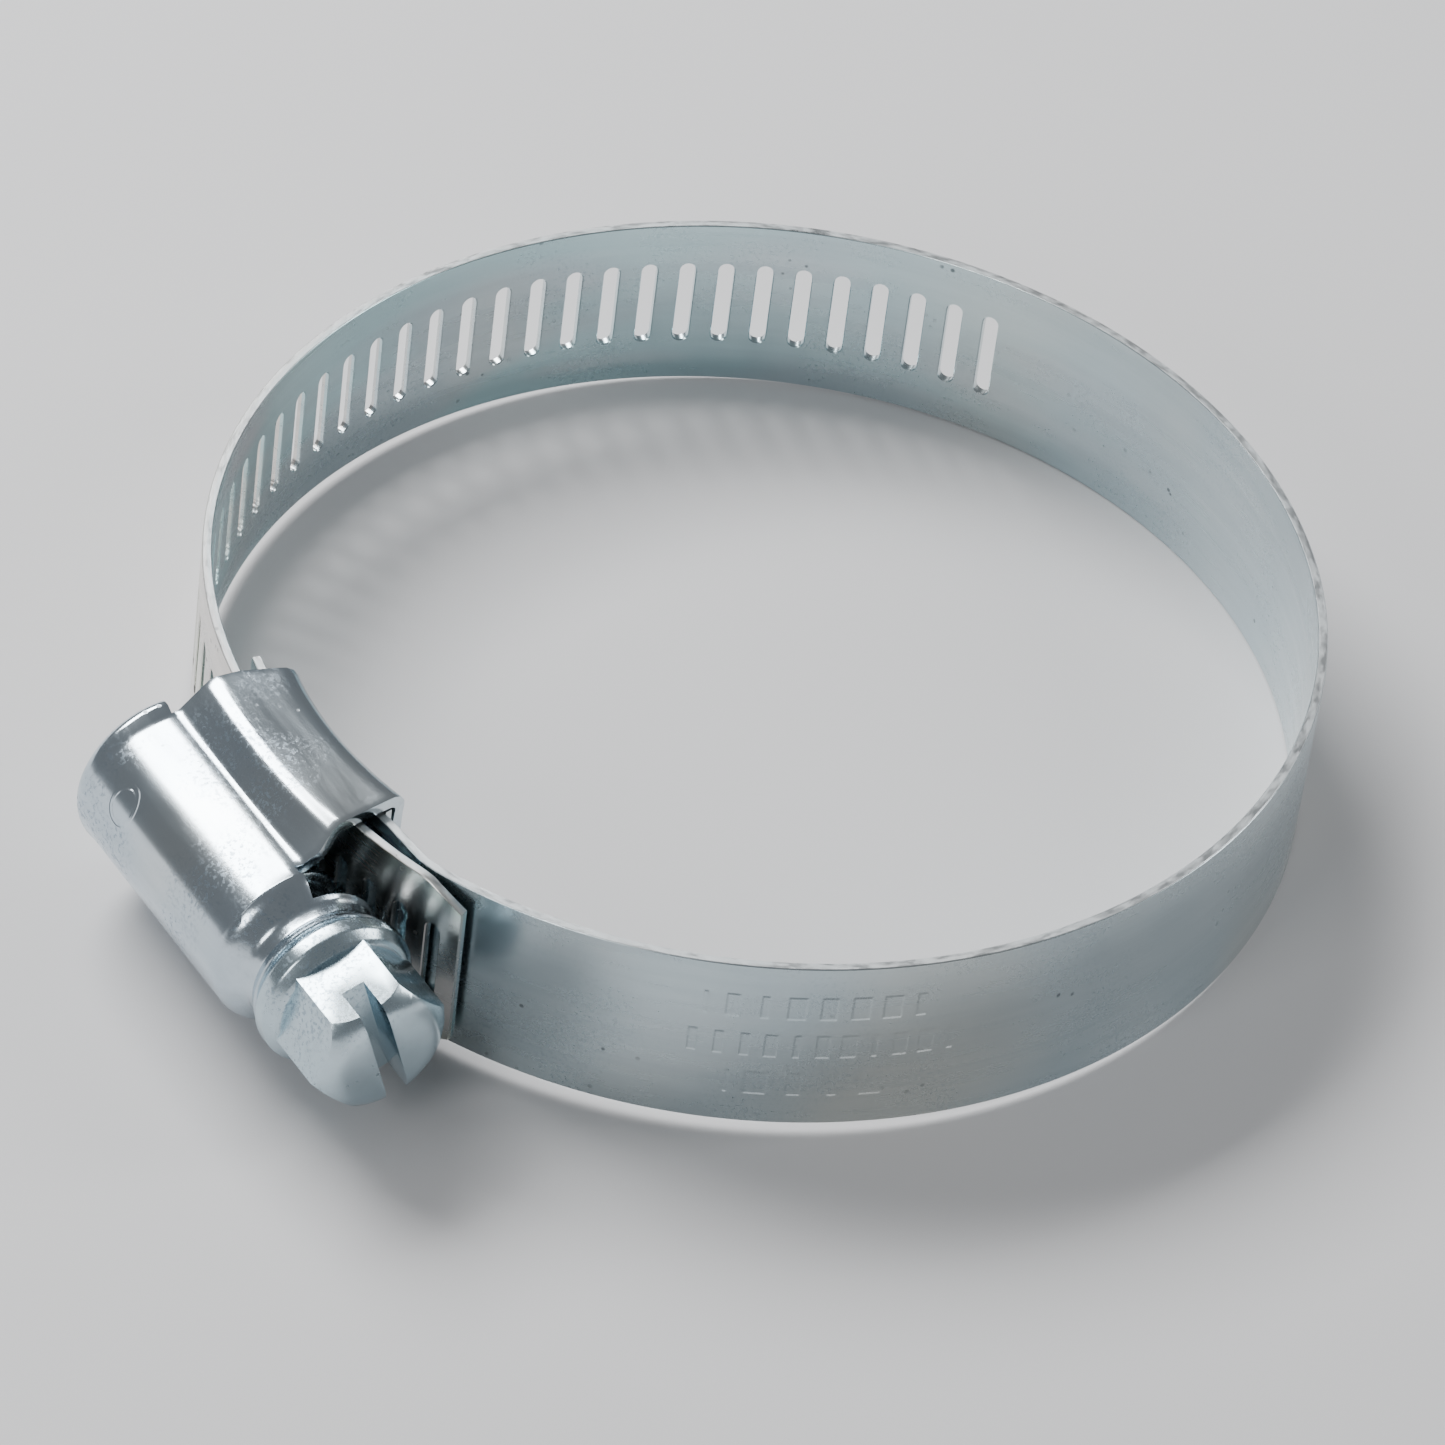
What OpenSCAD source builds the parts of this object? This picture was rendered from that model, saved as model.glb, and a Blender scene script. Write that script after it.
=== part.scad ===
// Worm-drive hose clamp: a perforated steel band, a pressed housing, an inner saddle and a
// slotted hex worm screw. Millimetres. The ring's axis is Z and its centre is the origin.
// The housing stands on the -Y side, and the screw's head points to +X.
// The band is one strip. It is cut into stretches at its bending lines, so that it can curl
// tighter as the screw draws its free end through the housing.

/* [Ring] */
// Inner diameter of the ring, which is the hose it lies on
ring_bore_d = 68.4; // [66:0.2:70]
// Azimuth where the ring ends and the fixed end bends in to the housing
kink_az = -68; // [-70:1:-66]
// Azimuth where the free end enters the housing
mouth_az = 258.6; // [257:0.2:260]
// Mean radius of the free end inside the housing
channel_r = 40; // [39:0.5:42]

/* [Band] */
// Width of the band
band_w = 12.7; // [12.5:0.1:13]
// Thickness of the band
band_t = 0.6; // [0.5:0.05:0.65]
// Distance from slot to slot, which is also the screw's lead
pitch = 2.54; // [2.5:0.01:2.6]
// Length of a slot across the band
slot_len = 6.35; // [6:0.05:7]
// Width of a slot along the band
slot_w = 1.06; // [1:0.02:1.1]
// Azimuth of the first slot
first_slot_az = 122.2; // [120:0.2:124]
// Number of slots
slot_n = 42; // [42:1:42]
// Plain band past the last slot
tip_len = 1.9; // [1.6:0.1:3]
// Corner cut at the free end, across the band
tip_cut = 1.2; // [0.5:0.1:2]
// Corner cut at the free end, along the band
tip_cut_len = 2.7; // [1:0.1:3]
// Drop of the fixed end below the free end, inside the housing
layer_drop = 1.6; // [1.4:0.1:1.7]
// Bending lines on the plain band, in millimetres along it from the kink
plain_bends = [3, 29, 55, 81, 107];
// Bending lines on the slotted band, as the number of the slot before each
slot_bends = [8, 15, 22, 27, 29, 31];
// Clear gap left at a bending line
bend_gap = 0.08; // [0.06:0.01:0.12]

/* [Housing] */
// Thickness of the housing's sheet
sheet_t = 0.8; // [0.7:0.05:0.9]
// Left end of the housing's arch along the screw
arch_x0 = -7.2; // [-7.5:0.1:-7]
// Right end of the arch, where it starts to neck in
arch_x1 = 9.3; // [9:0.1:9.5]
// Inner radius of the arch over the worm
arch_r = 4.9; // [4.8:0.05:5.1]
// Left end of the feet and shoulders, which follow the band
foot_x0 = -5.6; // [-6:0.1:-5]
// Right end of the feet and shoulders
foot_x1 = 9; // [8.5:0.1:9.2]
// Gap between a foot's tip and the middle of the band
foot_open = 2.6; // [2:0.1:3]
// Thickness of the saddle
saddle_t = 0.45; // [0.4:0.05:0.5]
// Side of the saddle's square lug
lug_w = 3; // [2.5:0.1:3.2]

/* [Worm screw] */
// Crest radius of the worm
worm_r = 4.2; // [4.15:0.01:4.25]
// Core radius of the worm
core_r = 3.4; // [3.3:0.05:3.5]
// Width of the thread at its crest
crest_w = 0.3; // [0.25:0.01:0.32]
// Width of the thread at the core
root_w = 0.85; // [0.8:0.01:0.88]
// How deep the thread reaches into a slot
reach = 0.45; // [0.4:0.01:0.48]
// Left end of the thread
thread_x0 = -5.8; // [-5.9:0.1:-5.5]
// Number of turns of thread
thread_turns = 5.6; // [5:0.1:5.8]
// Radius of the plain neck that turns in the housing's rim
neck_r = 3.5; // [3.4:0.05:3.5]
// Radius of the pilot that turns in the housing's end wall
pilot_r = 2.1; // [2:0.05:2.2]
// Radius of the collar
collar_r = 5.1; // [4.9:0.05:5.1]
// Thickness of the collar
collar_t = 2.1; // [1.8:0.1:2.4]
// Size of the hex head across its flats
hex_af = 8; // [7.9:0.05:8.1]
// Height of the hex head
hex_h = 5.2; // [4.8:0.1:5.5]
// Width of the driver slot
driver_w = 1.5; // [1.3:0.1:1.7]
// Depth of the driver slot
driver_d = 2.8; // [2:0.1:3.2]
// Turn of the head about the screw's axis at rest
head_turn = 73; // [60:1:90]

/* [Fit] */
// Running gap of the screw in the housing
run_gap = 0.08; // [0.05:0.01:0.1]
// Gap between the band and the sheet beside it
slide_gap = 0.2; // [0.15:0.05:0.3]

/* [Hidden] */
$fn = 96;
ring_r = (ring_bore_d + band_t) / 2;
bend_az = concat([for (s = plain_bends) kink_az + deg(s, ring_r)],
                 [for (j = slot_bends) first_slot_az + deg(pitch * (j + 0.5), ring_r)]);
mouth_xy = polar(ring_r, mouth_az);
channel_xy = mouth_xy * (1 - channel_r / ring_r);
slotted_len = (mouth_az - first_slot_az) * ring_r * PI / 180;
mid_slot = ceil((slotted_len + (270 - mouth_az) * channel_r * PI / 180) / pitch);
tip_az = channel_az(slot_n - 1) + deg(tip_len, channel_r);
fixed_r = channel_r - layer_drop;
fixed_az0 = x_az(arch_x0, fixed_r);
bend_in_az = x_az(foot_x1 - 0.4, fixed_r);
saddle_r = fixed_r - band_t / 2 - 0.05;
foot_r = saddle_r - saddle_t - 0.05;
wall_z = band_w / 2 + slide_gap;
worm_y = channel_xy[1] - channel_r - band_t / 2 + reach - worm_r;
crest_x = channel_xy[0] + channel_r * cos(channel_az(mid_slot));
rim_x0 = 11.2;
collar_x = 13.5;
head_x = collar_x + collar_t;
lug_az = x_az(1, fixed_r);
steel = [0.78, 0.82, 0.84];
tint = [0.66, 0.74, 0.78];

function deg(len, r) = len / r * 180 / PI;
function polar(r, az) = [r * cos(az), r * sin(az)];
function channel_az(j) = mouth_az + deg(pitch * j - slotted_len, channel_r);
function x_az(x, r) = 270 + asin((x - channel_xy[0]) / r);
function turn_points(c, r, a0, a1, n = 6) =
    [for (i = [0:n]) c + polar(r, a0 + (a1 - a0) * i / n)];

function heading(path, i) = (path[i + 1] - path[i]) / norm(path[i + 1] - path[i]);
function edge_point(path, i, d) =
    let (a = heading(path, max(i - 1, 0)),
         b = heading(path, min(i, len(path) - 2)),
         m = (a + b) / (1 + a * b))
    path[i] + d * [-m[1], m[0]];

// The band laid along a path of points in plan, with mitred bends
module ribbon(path) {
    n = len(path) - 1;
    linear_extrude(band_w, center = true)
        polygon(concat([for (i = [0:n]) edge_point(path, i, band_t / 2)],
                       [for (i = [n:-1:0]) edge_point(path, i, -band_t / 2)]));
}

// A curved strip about the origin, from one azimuth to another
module strip(r, az0, az1, t = band_t, w = band_w) {
    rotate([0, 0, az0])
        rotate_extrude(angle = az1 - az0, $fn = 360)
            translate([r - t / 2, -w / 2])
                square([t, w]);
}

// A slot's outline, with round ends, pushed through the band along its radius
module slot(r, az) {
    rotate([0, 0, az])
        translate([r - 2, 0, 0])
            rotate([0, 90, 0])
                linear_extrude(4)
                    union() {
                        square([slot_len - slot_w, slot_w], center = true);
                        for (side = [-1, 1])
                            translate([side * (slot_len - slot_w) / 2, 0])
                                circle(d = slot_w, $fn = 24);
                    }
}

// One stretch of the ring between two bending lines, with the slots that fall on it
module band_stretch(i) {
    az0 = bend_az[i - 1] + deg(bend_gap / 2, ring_r);
    az1 = bend_az[i] - deg(bend_gap / 2, ring_r);
    color(tint)
        difference() {
            strip(ring_r, az0, az1);
            for (j = [0:slot_n - 1])
                if (slot_az(j) > az0 && slot_az(j) < az1)
                    slot(ring_r, slot_az(j));
        }
}
function slot_az(j) = first_slot_az + deg(pitch * j, ring_r);

// The free end: the run through the housing, out past the screw's neck to the tip
module band_free_end() {
    last = slot_bends[len(slot_bends) - 1];
    color(tint)
        translate(channel_xy)
            difference() {
                strip(channel_r, channel_az(last + 0.5) + deg(bend_gap / 2, channel_r), tip_az);
                for (j = [last + 1:slot_n - 1])
                    slot(channel_r, channel_az(j));
                for (side = [-1, 1])
                    corner_cut(side);
            }
}

// The triangle taken off one corner of the tip
module corner_cut(side) {
    over = 0.3;
    rotate([0, 0, tip_az])
        translate([channel_r - 2, 0, 0])
            rotate([0, 90, 0])
                linear_extrude(4)
                    polygon([[side * (band_w / 2 - (1 + over) * tip_cut), over * tip_cut_len],
                             [side * (band_w / 2 + over * tip_cut), -(1 + over) * tip_cut_len],
                             [side * (band_w / 2 + 2), over * tip_cut_len]]);
}

// The fixed end: a short run of the ring, the bend in to the housing, and the run on the saddle
module band_fixed_end() {
    az0 = bend_az[0] - deg(bend_gap / 2, ring_r);
    color(tint)
        difference() {
            ribbon(concat(turn_points([0, 0], ring_r, az0, kink_az),
                          turn_points(channel_xy, fixed_r, bend_in_az, fixed_az0, 20)));
            lug(lug_w + 0.2, 2);
        }
}

// The square lug of the saddle, standing through the fixed end
module lug(w, h) {
    translate(channel_xy)
        rotate([0, 0, lug_az])
            translate([saddle_r - 0.2, -w / 2, -w / 2])
                cube([h, w, w]);
}

// The saddle: a thin inner plate between the fixed end and the housing's feet
module saddle() {
    color(steel)
        union() {
            translate(channel_xy)
                strip(saddle_r - saddle_t / 2, x_az(foot_x0 + 0.3, saddle_r),
                      x_az(foot_x1 - 0.8, saddle_r), saddle_t, band_w);
            lug(lug_w, 0.2 + band_t + 0.15);
        }
}

// Half of the housing's section across the band: foot, side wall, and shoulder up to the arch
module side_section() {
    in_z = wall_z;
    out_z = wall_z + sheet_t;
    ridge_r = channel_r + band_t / 2 + slide_gap + sheet_t + 0.6;
    valley = [-worm_y + channel_xy[1], arch_r + sheet_t / 2];
    polygon(concat([[foot_r - sheet_t, foot_open]],
                   turn_points([foot_r, out_z - sheet_t], sheet_t, 180, 90),
                   turn_points([ridge_r, out_z - 1], 1, 90, 45),
                   [valley + [0, sheet_t / 2], valley - [0, sheet_t / 2]],
                   turn_points([ridge_r - 0.4, in_z - 0.6], 0.6, 45, 90),
                   [[foot_r, in_z], [foot_r, foot_open]]));
}

// Everything that has to stay clear of the free end
module free_end_room() {
    translate([channel_xy[0], channel_xy[1], -band_w])
        cylinder(r = channel_r + band_t / 2 + slide_gap, h = 2 * band_w, $fn = 360);
}

// A solid turned about the screw's axis from an outline of [along X, radius] points
module turned(points) {
    translate([0, worm_y, 0])
        rotate([0, 90, 0])
            rotate_extrude()
                polygon([for (p = points) [p[1], p[0]]]);
}

// The housing: feet and shoulders that follow the band, an arch over the worm, and the rim
module housing() {
    outer = arch_r + sheet_t;
    foot_az0 = x_az(foot_x0, channel_r);
    foot_az1 = x_az(foot_x1, channel_r);
    color(steel)
        union() {
            for (side = [0, 1])
                mirror([0, 0, side])
                    translate(channel_xy)
                        rotate([0, 0, foot_az0])
                            rotate_extrude(angle = foot_az1 - foot_az0, $fn = 360)
                                side_section();
            difference() {
                union() {
                    turned([[arch_x0, pilot_r + run_gap], [arch_x0, outer - 0.8],
                            [arch_x0 + 0.8, outer], [arch_x1, outer],
                            [rim_x0, neck_r + sheet_t + 0.4],
                            [rim_x0, neck_r + run_gap], [arch_x1, arch_r],
                            [arch_x0 + sheet_t, arch_r],
                            [arch_x0 + sheet_t, pilot_r + run_gap]]);
                    for (side = [-1, 1])
                        translate([foot_x0 + 0.2, worm_y, side * (arch_r + sheet_t / 2) - sheet_t / 2])
                            cube([foot_x1 - foot_x0 - 0.6, 3.5, sheet_t]);
                }
                free_end_room();
                translate([arch_x0 - 1, worm_y, -arch_r])
                    cube([arch_x1 - arch_x0 + 2.4, 10, 2 * arch_r]);
            }
            turned([[rim_x0, neck_r + run_gap], [rim_x0, neck_r + sheet_t + 0.4],
                    [collar_x - 0.6, neck_r + sheet_t],
                    [collar_x - run_gap, neck_r + sheet_t + 0.3],
                    [collar_x - run_gap, neck_r + run_gap]]);
        }
}

// The thread: a ridge wound round the core, tapering out at both ends
module thread() {
    steps = 20;
    n = round(thread_turns * steps);
    phase = 360 * (thread_x0 - crest_x) / pitch;
    sections = [for (i = [0:n])
        let (run = min(i, n - i) / 8,
             r = core_r - 0.15 + (worm_r - core_r + 0.15) * min(1, run),
             x = thread_x0 + pitch * i / steps,
             a = phase + 360 * i / steps)
        [for (p = [[-root_w / 2, core_r - 0.2], [-crest_w / 2, r],
                   [crest_w / 2, r], [root_w / 2, core_r - 0.2]])
            [x + p[0], p[1] * cos(a), p[1] * sin(a)]]];
    faces = concat([[3, 2, 1, 0]],
                   [for (i = [0:n - 1], k = [0:3])
                       let (a = 4 * i + k, b = 4 * i + (k + 1) % 4)
                       [b, b + 4, a + 4, a]],
                   [[for (k = [0:3]) 4 * n + k]]);
    translate([0, worm_y, 0])
        polyhedron([for (s = sections, p = s) p], faces);
}

// The worm screw: pilot, core with its thread, neck, collar, and slotted hex head
module worm_screw() {
    hex_r = hex_af / 2 / cos(30);
    color(steel)
        union() {
            turned([[arch_x0 + 0.1, 0], [arch_x0 + 0.1, pilot_r], [thread_x0 - 0.5, pilot_r],
                    [thread_x0 - 0.5, core_r], [arch_x1 + 0.2, core_r],
                    [arch_x1 + 0.6, neck_r], [collar_x, neck_r],
                    [collar_x, collar_r - 0.4], [collar_x + 0.4, collar_r],
                    [head_x - 0.6, collar_r], [head_x, collar_r - 0.7], [head_x, 0]]);
            thread();
            translate([0, worm_y, 0])
                rotate([-head_turn, 0, 0])
                    difference() {
                        intersection() {
                            translate([head_x - 0.1, 0, 0])
                                rotate([0, 90, 0])
                                    cylinder(r = hex_r, h = hex_h + 0.1, $fn = 6);
                            translate([head_x - 0.2, 0, 0])
                                rotate([0, 90, 0])
                                    cylinder(r1 = hex_r + 2.6, r2 = hex_af / 2 - 0.3,
                                             h = hex_h + 0.2);
                        }
                        translate([head_x + hex_h - driver_d, -hex_af, -driver_w / 2])
                            cube([driver_d + 1, 2 * hex_af, driver_w]);
                    }
        }
}

housing();
saddle();
worm_screw();
band_fixed_end();
band_stretch(1);  // band_stretch_01
band_stretch(2);  // band_stretch_02
band_stretch(3);  // band_stretch_03
band_stretch(4);  // band_stretch_04
band_stretch(5);  // band_stretch_05
band_stretch(6);  // band_stretch_06
band_stretch(7);  // band_stretch_07
band_stretch(8);  // band_stretch_08
band_stretch(9);  // band_stretch_09
band_stretch(10);  // band_stretch_10
band_free_end();
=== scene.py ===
import math

import bmesh
import bpy
import numpy as np
from mathutils import Matrix, Vector


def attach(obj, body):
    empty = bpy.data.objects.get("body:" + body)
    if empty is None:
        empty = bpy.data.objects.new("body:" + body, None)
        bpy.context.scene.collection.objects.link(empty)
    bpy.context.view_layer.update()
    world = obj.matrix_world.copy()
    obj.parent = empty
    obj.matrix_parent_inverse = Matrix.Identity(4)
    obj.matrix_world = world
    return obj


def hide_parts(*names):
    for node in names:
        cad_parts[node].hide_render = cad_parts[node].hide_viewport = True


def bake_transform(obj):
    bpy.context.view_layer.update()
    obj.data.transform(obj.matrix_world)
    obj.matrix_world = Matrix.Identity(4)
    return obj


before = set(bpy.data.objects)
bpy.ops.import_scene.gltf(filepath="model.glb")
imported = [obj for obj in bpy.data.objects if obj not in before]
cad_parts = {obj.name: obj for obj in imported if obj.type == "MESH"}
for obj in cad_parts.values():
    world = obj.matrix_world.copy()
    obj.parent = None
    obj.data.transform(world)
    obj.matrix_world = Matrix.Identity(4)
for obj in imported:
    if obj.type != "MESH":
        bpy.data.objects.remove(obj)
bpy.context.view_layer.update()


# ---------------------------------------------------------------------------------------------
# The band. One strip of zinc-plated spring steel, sheared along both edges and punched with
# cross slots over its second half. Its first end is bent in under the housing and held there;
# the other end runs over it, through the housing, and out beside the screw's neck.
# ---------------------------------------------------------------------------------------------
mm = 0.001
width, thick, chamfer = 12.7 * mm, 0.6 * mm, 0.07 * mm
pitch, slot_long, slot_wide = 2.54 * mm, 6.35 * mm, 1.06 * mm
ring_r, channel_r, fixed_r = 34.5 * mm, 40 * mm, 38.4 * mm
mouth_az, kink_az = math.radians(258.6), math.radians(-68)
channel_c = Vector((math.cos(mouth_az), math.sin(mouth_az))) * (ring_r - channel_r)
fixed_end_x, bend_in_x, free_run = 7.2 * mm, 8.6 * mm, 26 * mm
first_slot, slots = 114.527 * mm, 42
tip_cut, tip_cut_long, tip_past = 1.2 * mm, 2.7 * mm, 1.9 * mm
bend_at = [3, 29, 55, 81, 107] + [114.527 + 2.54 * (j + 0.5) for j in (8, 15, 22, 27, 29, 31)]
split_at = [16, 42, 68, 94] + [114.527 + 2.54 * (j + 0.5) for j in (2, 11, 18, 24, 28, 30)]


class Wire:
    """An output socket, with the arithmetic that shader and geometry nodes share."""

    def __init__(self, tree, socket):
        self.tree, self.socket = tree, socket

    def math(self, operation, *others):
        return add_math(self.tree, operation, self, *others)

    def __add__(self, other):
        return self.math("ADD", other)

    def __radd__(self, other):
        return self.math("ADD", other)

    def __sub__(self, other):
        return self.math("SUBTRACT", other)

    def __rsub__(self, other):
        return add_math(self.tree, "SUBTRACT", other, self)

    def __mul__(self, other):
        return self.math("MULTIPLY", other)

    def __rmul__(self, other):
        return self.math("MULTIPLY", other)

    def __truediv__(self, other):
        return self.math("DIVIDE", other)

    def __gt__(self, other):
        return self.math("GREATER_THAN", other)

    def __lt__(self, other):
        return self.math("LESS_THAN", other)

    def __pow__(self, other):
        return self.math("POWER", other)

    def __abs__(self):
        return self.math("ABSOLUTE")


def plug(tree, socket, value):
    if isinstance(value, Wire):
        tree.links.new(value.socket, socket)
    else:
        socket.default_value = value


def add_math(tree, operation, *values):
    made = tree.nodes.new("ShaderNodeMath")
    made.operation = operation
    for socket, value in zip(made.inputs, values):
        plug(tree, socket, value)
    return Wire(tree, made.outputs[0])


def add_node(tree, kind, inputs=None, out=0, **settings):
    """A node of any kind: inputs by name or number, settings as attributes, one output back."""
    made = tree.nodes.new(kind)
    for name, value in settings.items():
        setattr(made, name, value)
    for name, value in (inputs or {}).items():
        plug(tree, made.inputs[name], value)
    return Wire(tree, made.outputs[out])


def split_xyz(tree, vector):
    made = tree.nodes.new("ShaderNodeSeparateXYZ")
    plug(tree, made.inputs[0], vector)
    return [Wire(tree, socket) for socket in made.outputs]


def join_xyz(tree, x, y, z):
    return add_node(tree, "ShaderNodeCombineXYZ", {0: x, 1: y, 2: z})


def ramp(tree, value, low, high, to_low=0.0, to_high=1.0):
    return add_node(tree, "ShaderNodeMapRange", {
        "Value": value, "From Min": low, "From Max": high, "To Min": to_low, "To Max": to_high,
    })


def mix_colour(tree, factor, a, b):
    """Colour a where factor is 0 and b where it is 1."""
    made = tree.nodes.new("ShaderNodeMix")
    made.data_type = "RGBA"
    for socket, value in ((0, factor), (6, a), (7, b)):
        if not isinstance(value, Wire) and socket:
            value = (*value[:3], 1)
        plug(tree, made.inputs[socket], value)
    return Wire(tree, made.outputs[2])


def noise(tree, at, scale, detail=2.0, rough=0.5, stretch=(1, 1, 1)):
    mapped = add_node(tree, "ShaderNodeMapping", {"Vector": at, "Scale": stretch})
    inputs = {"Vector": mapped, "Scale": scale, "Detail": detail, "Roughness": rough}
    return add_node(tree, "ShaderNodeTexNoise", inputs)


def group_inputs(tree, wanted):
    """Named inputs on a geometry node group, as wires, and their identifiers by name."""
    keys = {}
    for name, kind in wanted.items():
        socket = tree.interface.new_socket(name, in_out="INPUT", socket_type=kind)
        keys[name] = socket.identifier
    tree.interface.new_socket("Geometry", in_out="OUTPUT", socket_type="NodeSocketGeometry")
    source = tree.nodes.new("NodeGroupInput")
    wires = {name: Wire(tree, source.outputs[name]) for name in wanted}
    return wires, keys


def new_mesh(name, points, faces):
    mesh = bpy.data.meshes.new(name)
    mesh.from_pydata([tuple(p) for p in points], [], faces)
    made = bmesh.new()
    made.from_mesh(mesh)
    bmesh.ops.remove_doubles(made, verts=made.verts, dist=0.002 * mm)
    made.to_mesh(mesh)
    made.free()
    mesh.polygons.foreach_set("use_smooth", [True] * len(mesh.polygons))
    obj = bpy.data.objects.new(name, mesh)
    bpy.context.scene.collection.objects.link(obj)
    return obj


def solid_from(obj, name):
    """The object as its modifiers leave it, with none on it any more."""
    bpy.context.view_layer.update()
    made = obj.evaluated_get(bpy.context.evaluated_depsgraph_get())
    mesh = bpy.data.meshes.new_from_object(made)
    mesh.name = name
    obj.modifiers.clear()
    obj.data = mesh
    obj.name = name
    return obj


def band_path(step=0.25 * mm):
    """Plan points along the strip's middle, and the length from the first of them to the kink."""
    def arc(c, r, a0, a1):
        n = max(2, int(abs(a1 - a0) * r / step))
        return [c + Vector((math.cos(a), math.sin(a))) * r for a in np.linspace(a0, a1, n)]

    def corner(a, b, c):
        return [a * (1 - t) ** 2 + b * 2 * t * (1 - t) + c * t * t for t in np.linspace(0, 1, 9)]

    centre = Vector((0, 0))
    kink = Vector((math.cos(kink_az), math.sin(kink_az))) * ring_r
    end_az = math.radians(270) - math.asin((fixed_end_x + channel_c.x) / fixed_r)
    in_az = math.radians(270) + math.asin((bend_in_x - channel_c.x) / fixed_r)
    bend_in = channel_c + Vector((math.cos(in_az), math.sin(in_az))) * fixed_r
    run = (kink - bend_in).normalized()
    soft = 0.9 * mm
    tail = arc(channel_c, fixed_r, end_az, in_az - soft / fixed_r)
    tail += corner(tail[-1], bend_in, bend_in + run * soft)[1:]
    tail += [bend_in + run * d for d in (1.5 * mm, 2.5 * mm)]
    start = arc(centre, ring_r, kink_az + soft / ring_r, mouth_az)
    tail += corner(kink - run * soft, kink, start[0])
    out_az = mouth_az + free_run / channel_r
    points = tail + start[1:] + arc(channel_c, channel_r, mouth_az, out_az)[1:]
    steps = [(b - a).length for a, b in zip(points, points[1:])]
    return points, sum(steps[: len(tail) - 1]) - soft


path_points, path_lead = band_path()
tip_end = first_slot + (slots - 1) * pitch + tip_past
rim_from = 4.0 * mm
across = [0, 1.3 * mm, 2.645 * mm, 3.3 * mm, rim_from, 5.1 * mm, 6.2 * mm, 6.28 * mm]
across = sorted({s * a for a in across for s in (-1, 1)})


def band_loop():
    """The strip's cross-section as (across, out) points, with its two sheared edges eased."""
    outer = [(a, thick / 2) for a in across]
    right = [(width / 2, thick / 2 - chamfer), (width / 2, -thick / 2 + chamfer)]
    inner = [(a, -thick / 2) for a in reversed(across)]
    return outer + right + inner + [(-a, b) for a, b in reversed(right)]


def plain_run(name, start, end, step, cap_start=False, cap_end=False):
    """A plain length of strip, laid flat: X along it, Y across, Z outward."""
    loop = band_loop()
    rows = np.linspace(start, end, max(2, round((end - start) / step) + 1))
    points = [(x, a, b) for x in rows for a, b in loop]
    n = len(loop)
    faces = [
        (k * n + i, (k + 1) * n + i, (k + 1) * n + (i + 1) % n, k * n + (i + 1) % n)
        for k in range(len(rows) - 1)
        for i in range(n)
    ]
    if cap_start:
        faces.append(tuple(range(n)))
    if cap_end:
        faces.append(tuple(reversed(range((len(rows) - 1) * n, len(rows) * n))))
    return new_mesh(name, points, faces)


def slot_tile(name):
    """One pitch of strip with its slot, laid flat about the slot's centre."""
    points, faces = [], []

    def patch(grid, flip=False):
        base, n = len(points), len(grid[0])
        points.extend(p for row in grid for p in row)
        for i in range(len(grid) - 1):
            for j in range(n - 1):
                a = base + i * n + j
                face = (a, a + n, a + n + 1, a + 1)
                faces.append(face[::-1] if flip else face)

    columns = [pitch * k / 4 - pitch / 2 for k in range(5)]
    loop = band_loop()
    edge = [p for p in loop if p[0] >= rim_from - 1e-9]
    for sign in (1, -1):
        rim = [(sign * a, b) for a, b in edge]
        patch([[(x, a, b) for a, b in rim] for x in columns], flip=sign < 0)
    half_l, half_w = slot_long / 2 - slot_wide / 2, slot_wide / 2

    def outline(grow):
        r = half_w + grow
        right = [(r, y) for y in np.linspace(-half_l, half_l, 5)]
        top = [(r * math.cos(a), half_l + r * math.sin(a)) for a in np.linspace(0, math.pi, 9)]
        return right + top[1:-1] + [(-x, -y) for x, y in right + top[1:-1]]

    side, high = pitch / 2, rim_from
    right = [(side, y) for y in np.linspace(-half_l, half_l, 5)]
    over = [(side, 3.3 * mm), (side, high), (side / 2, high), (0, high), (-side / 2, high)]
    over += [(-side, high), (-side, 3.3 * mm)]
    frame_ring = right + over + [(-x, -y) for x, y in right + over]
    rings = [(frame_ring, thick / 2), (outline(chamfer), thick / 2)]
    rings += [(outline(0), thick / 2 - chamfer), (outline(0), -thick / 2 + chamfer)]
    rings += [(outline(chamfer), -thick / 2), (frame_ring, -thick / 2)]
    patch([[(x, y, z) for x, y in ring + ring[:1]] for ring, z in rings], flip=True)
    return new_mesh(name, points, faces)


plain = plain_run("plain run", -path_lead, first_slot - pitch / 2, 0.635 * mm, cap_start=True)
tip = plain_run("tip", tip_end - tip_past + pitch / 2, tip_end, 0.3 * mm, cap_end=True)
tile = slot_tile("slot tile")
path_curve = bpy.data.curves.new("band path", "CURVE")
path_curve.dimensions = "3D"
spline = path_curve.splines.new("POLY")
spline.points.add(len(path_points) - 1)
for spot, p in zip(spline.points, path_points):
    spot.co = (p.x, p.y, 0, 1)
path = bpy.data.objects.new("band path", path_curve)
bpy.context.scene.collection.objects.link(path)

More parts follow.
